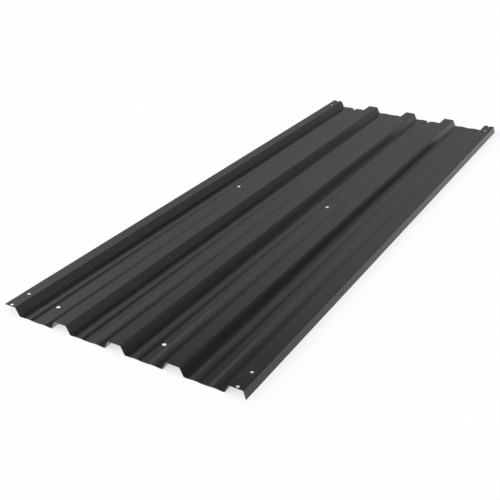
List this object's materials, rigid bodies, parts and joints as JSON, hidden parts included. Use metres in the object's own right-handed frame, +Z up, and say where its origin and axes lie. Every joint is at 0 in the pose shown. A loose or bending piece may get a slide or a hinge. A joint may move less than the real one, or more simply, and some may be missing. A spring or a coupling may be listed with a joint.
{
  "type": "trapezoidal corrugated metal sheet",
  "caption": "Trapezoidal corrugated steel sheet with beaded flat pans, a side-lap flange, a turned-down lip and punched fixing holes, for roofs and wall cladding.",
  "frame": {"origin": "middle of the sheet's footprint, on the surface that its pans lie on", "axes": "+X across the ribs, from the flat side flange to the turned-down lip; +Y along the ribs, away from the end whose edge holes come in pairs; +Z up, out of the weather side"},
  "size_m": [0.36, 1, 0.0121],
  "materials": {
    "coated_steel": "satin"
  },
  "bodies": {
    "root": {"profiled_sheet": "coated_steel"}
  },
  "joints": []
}
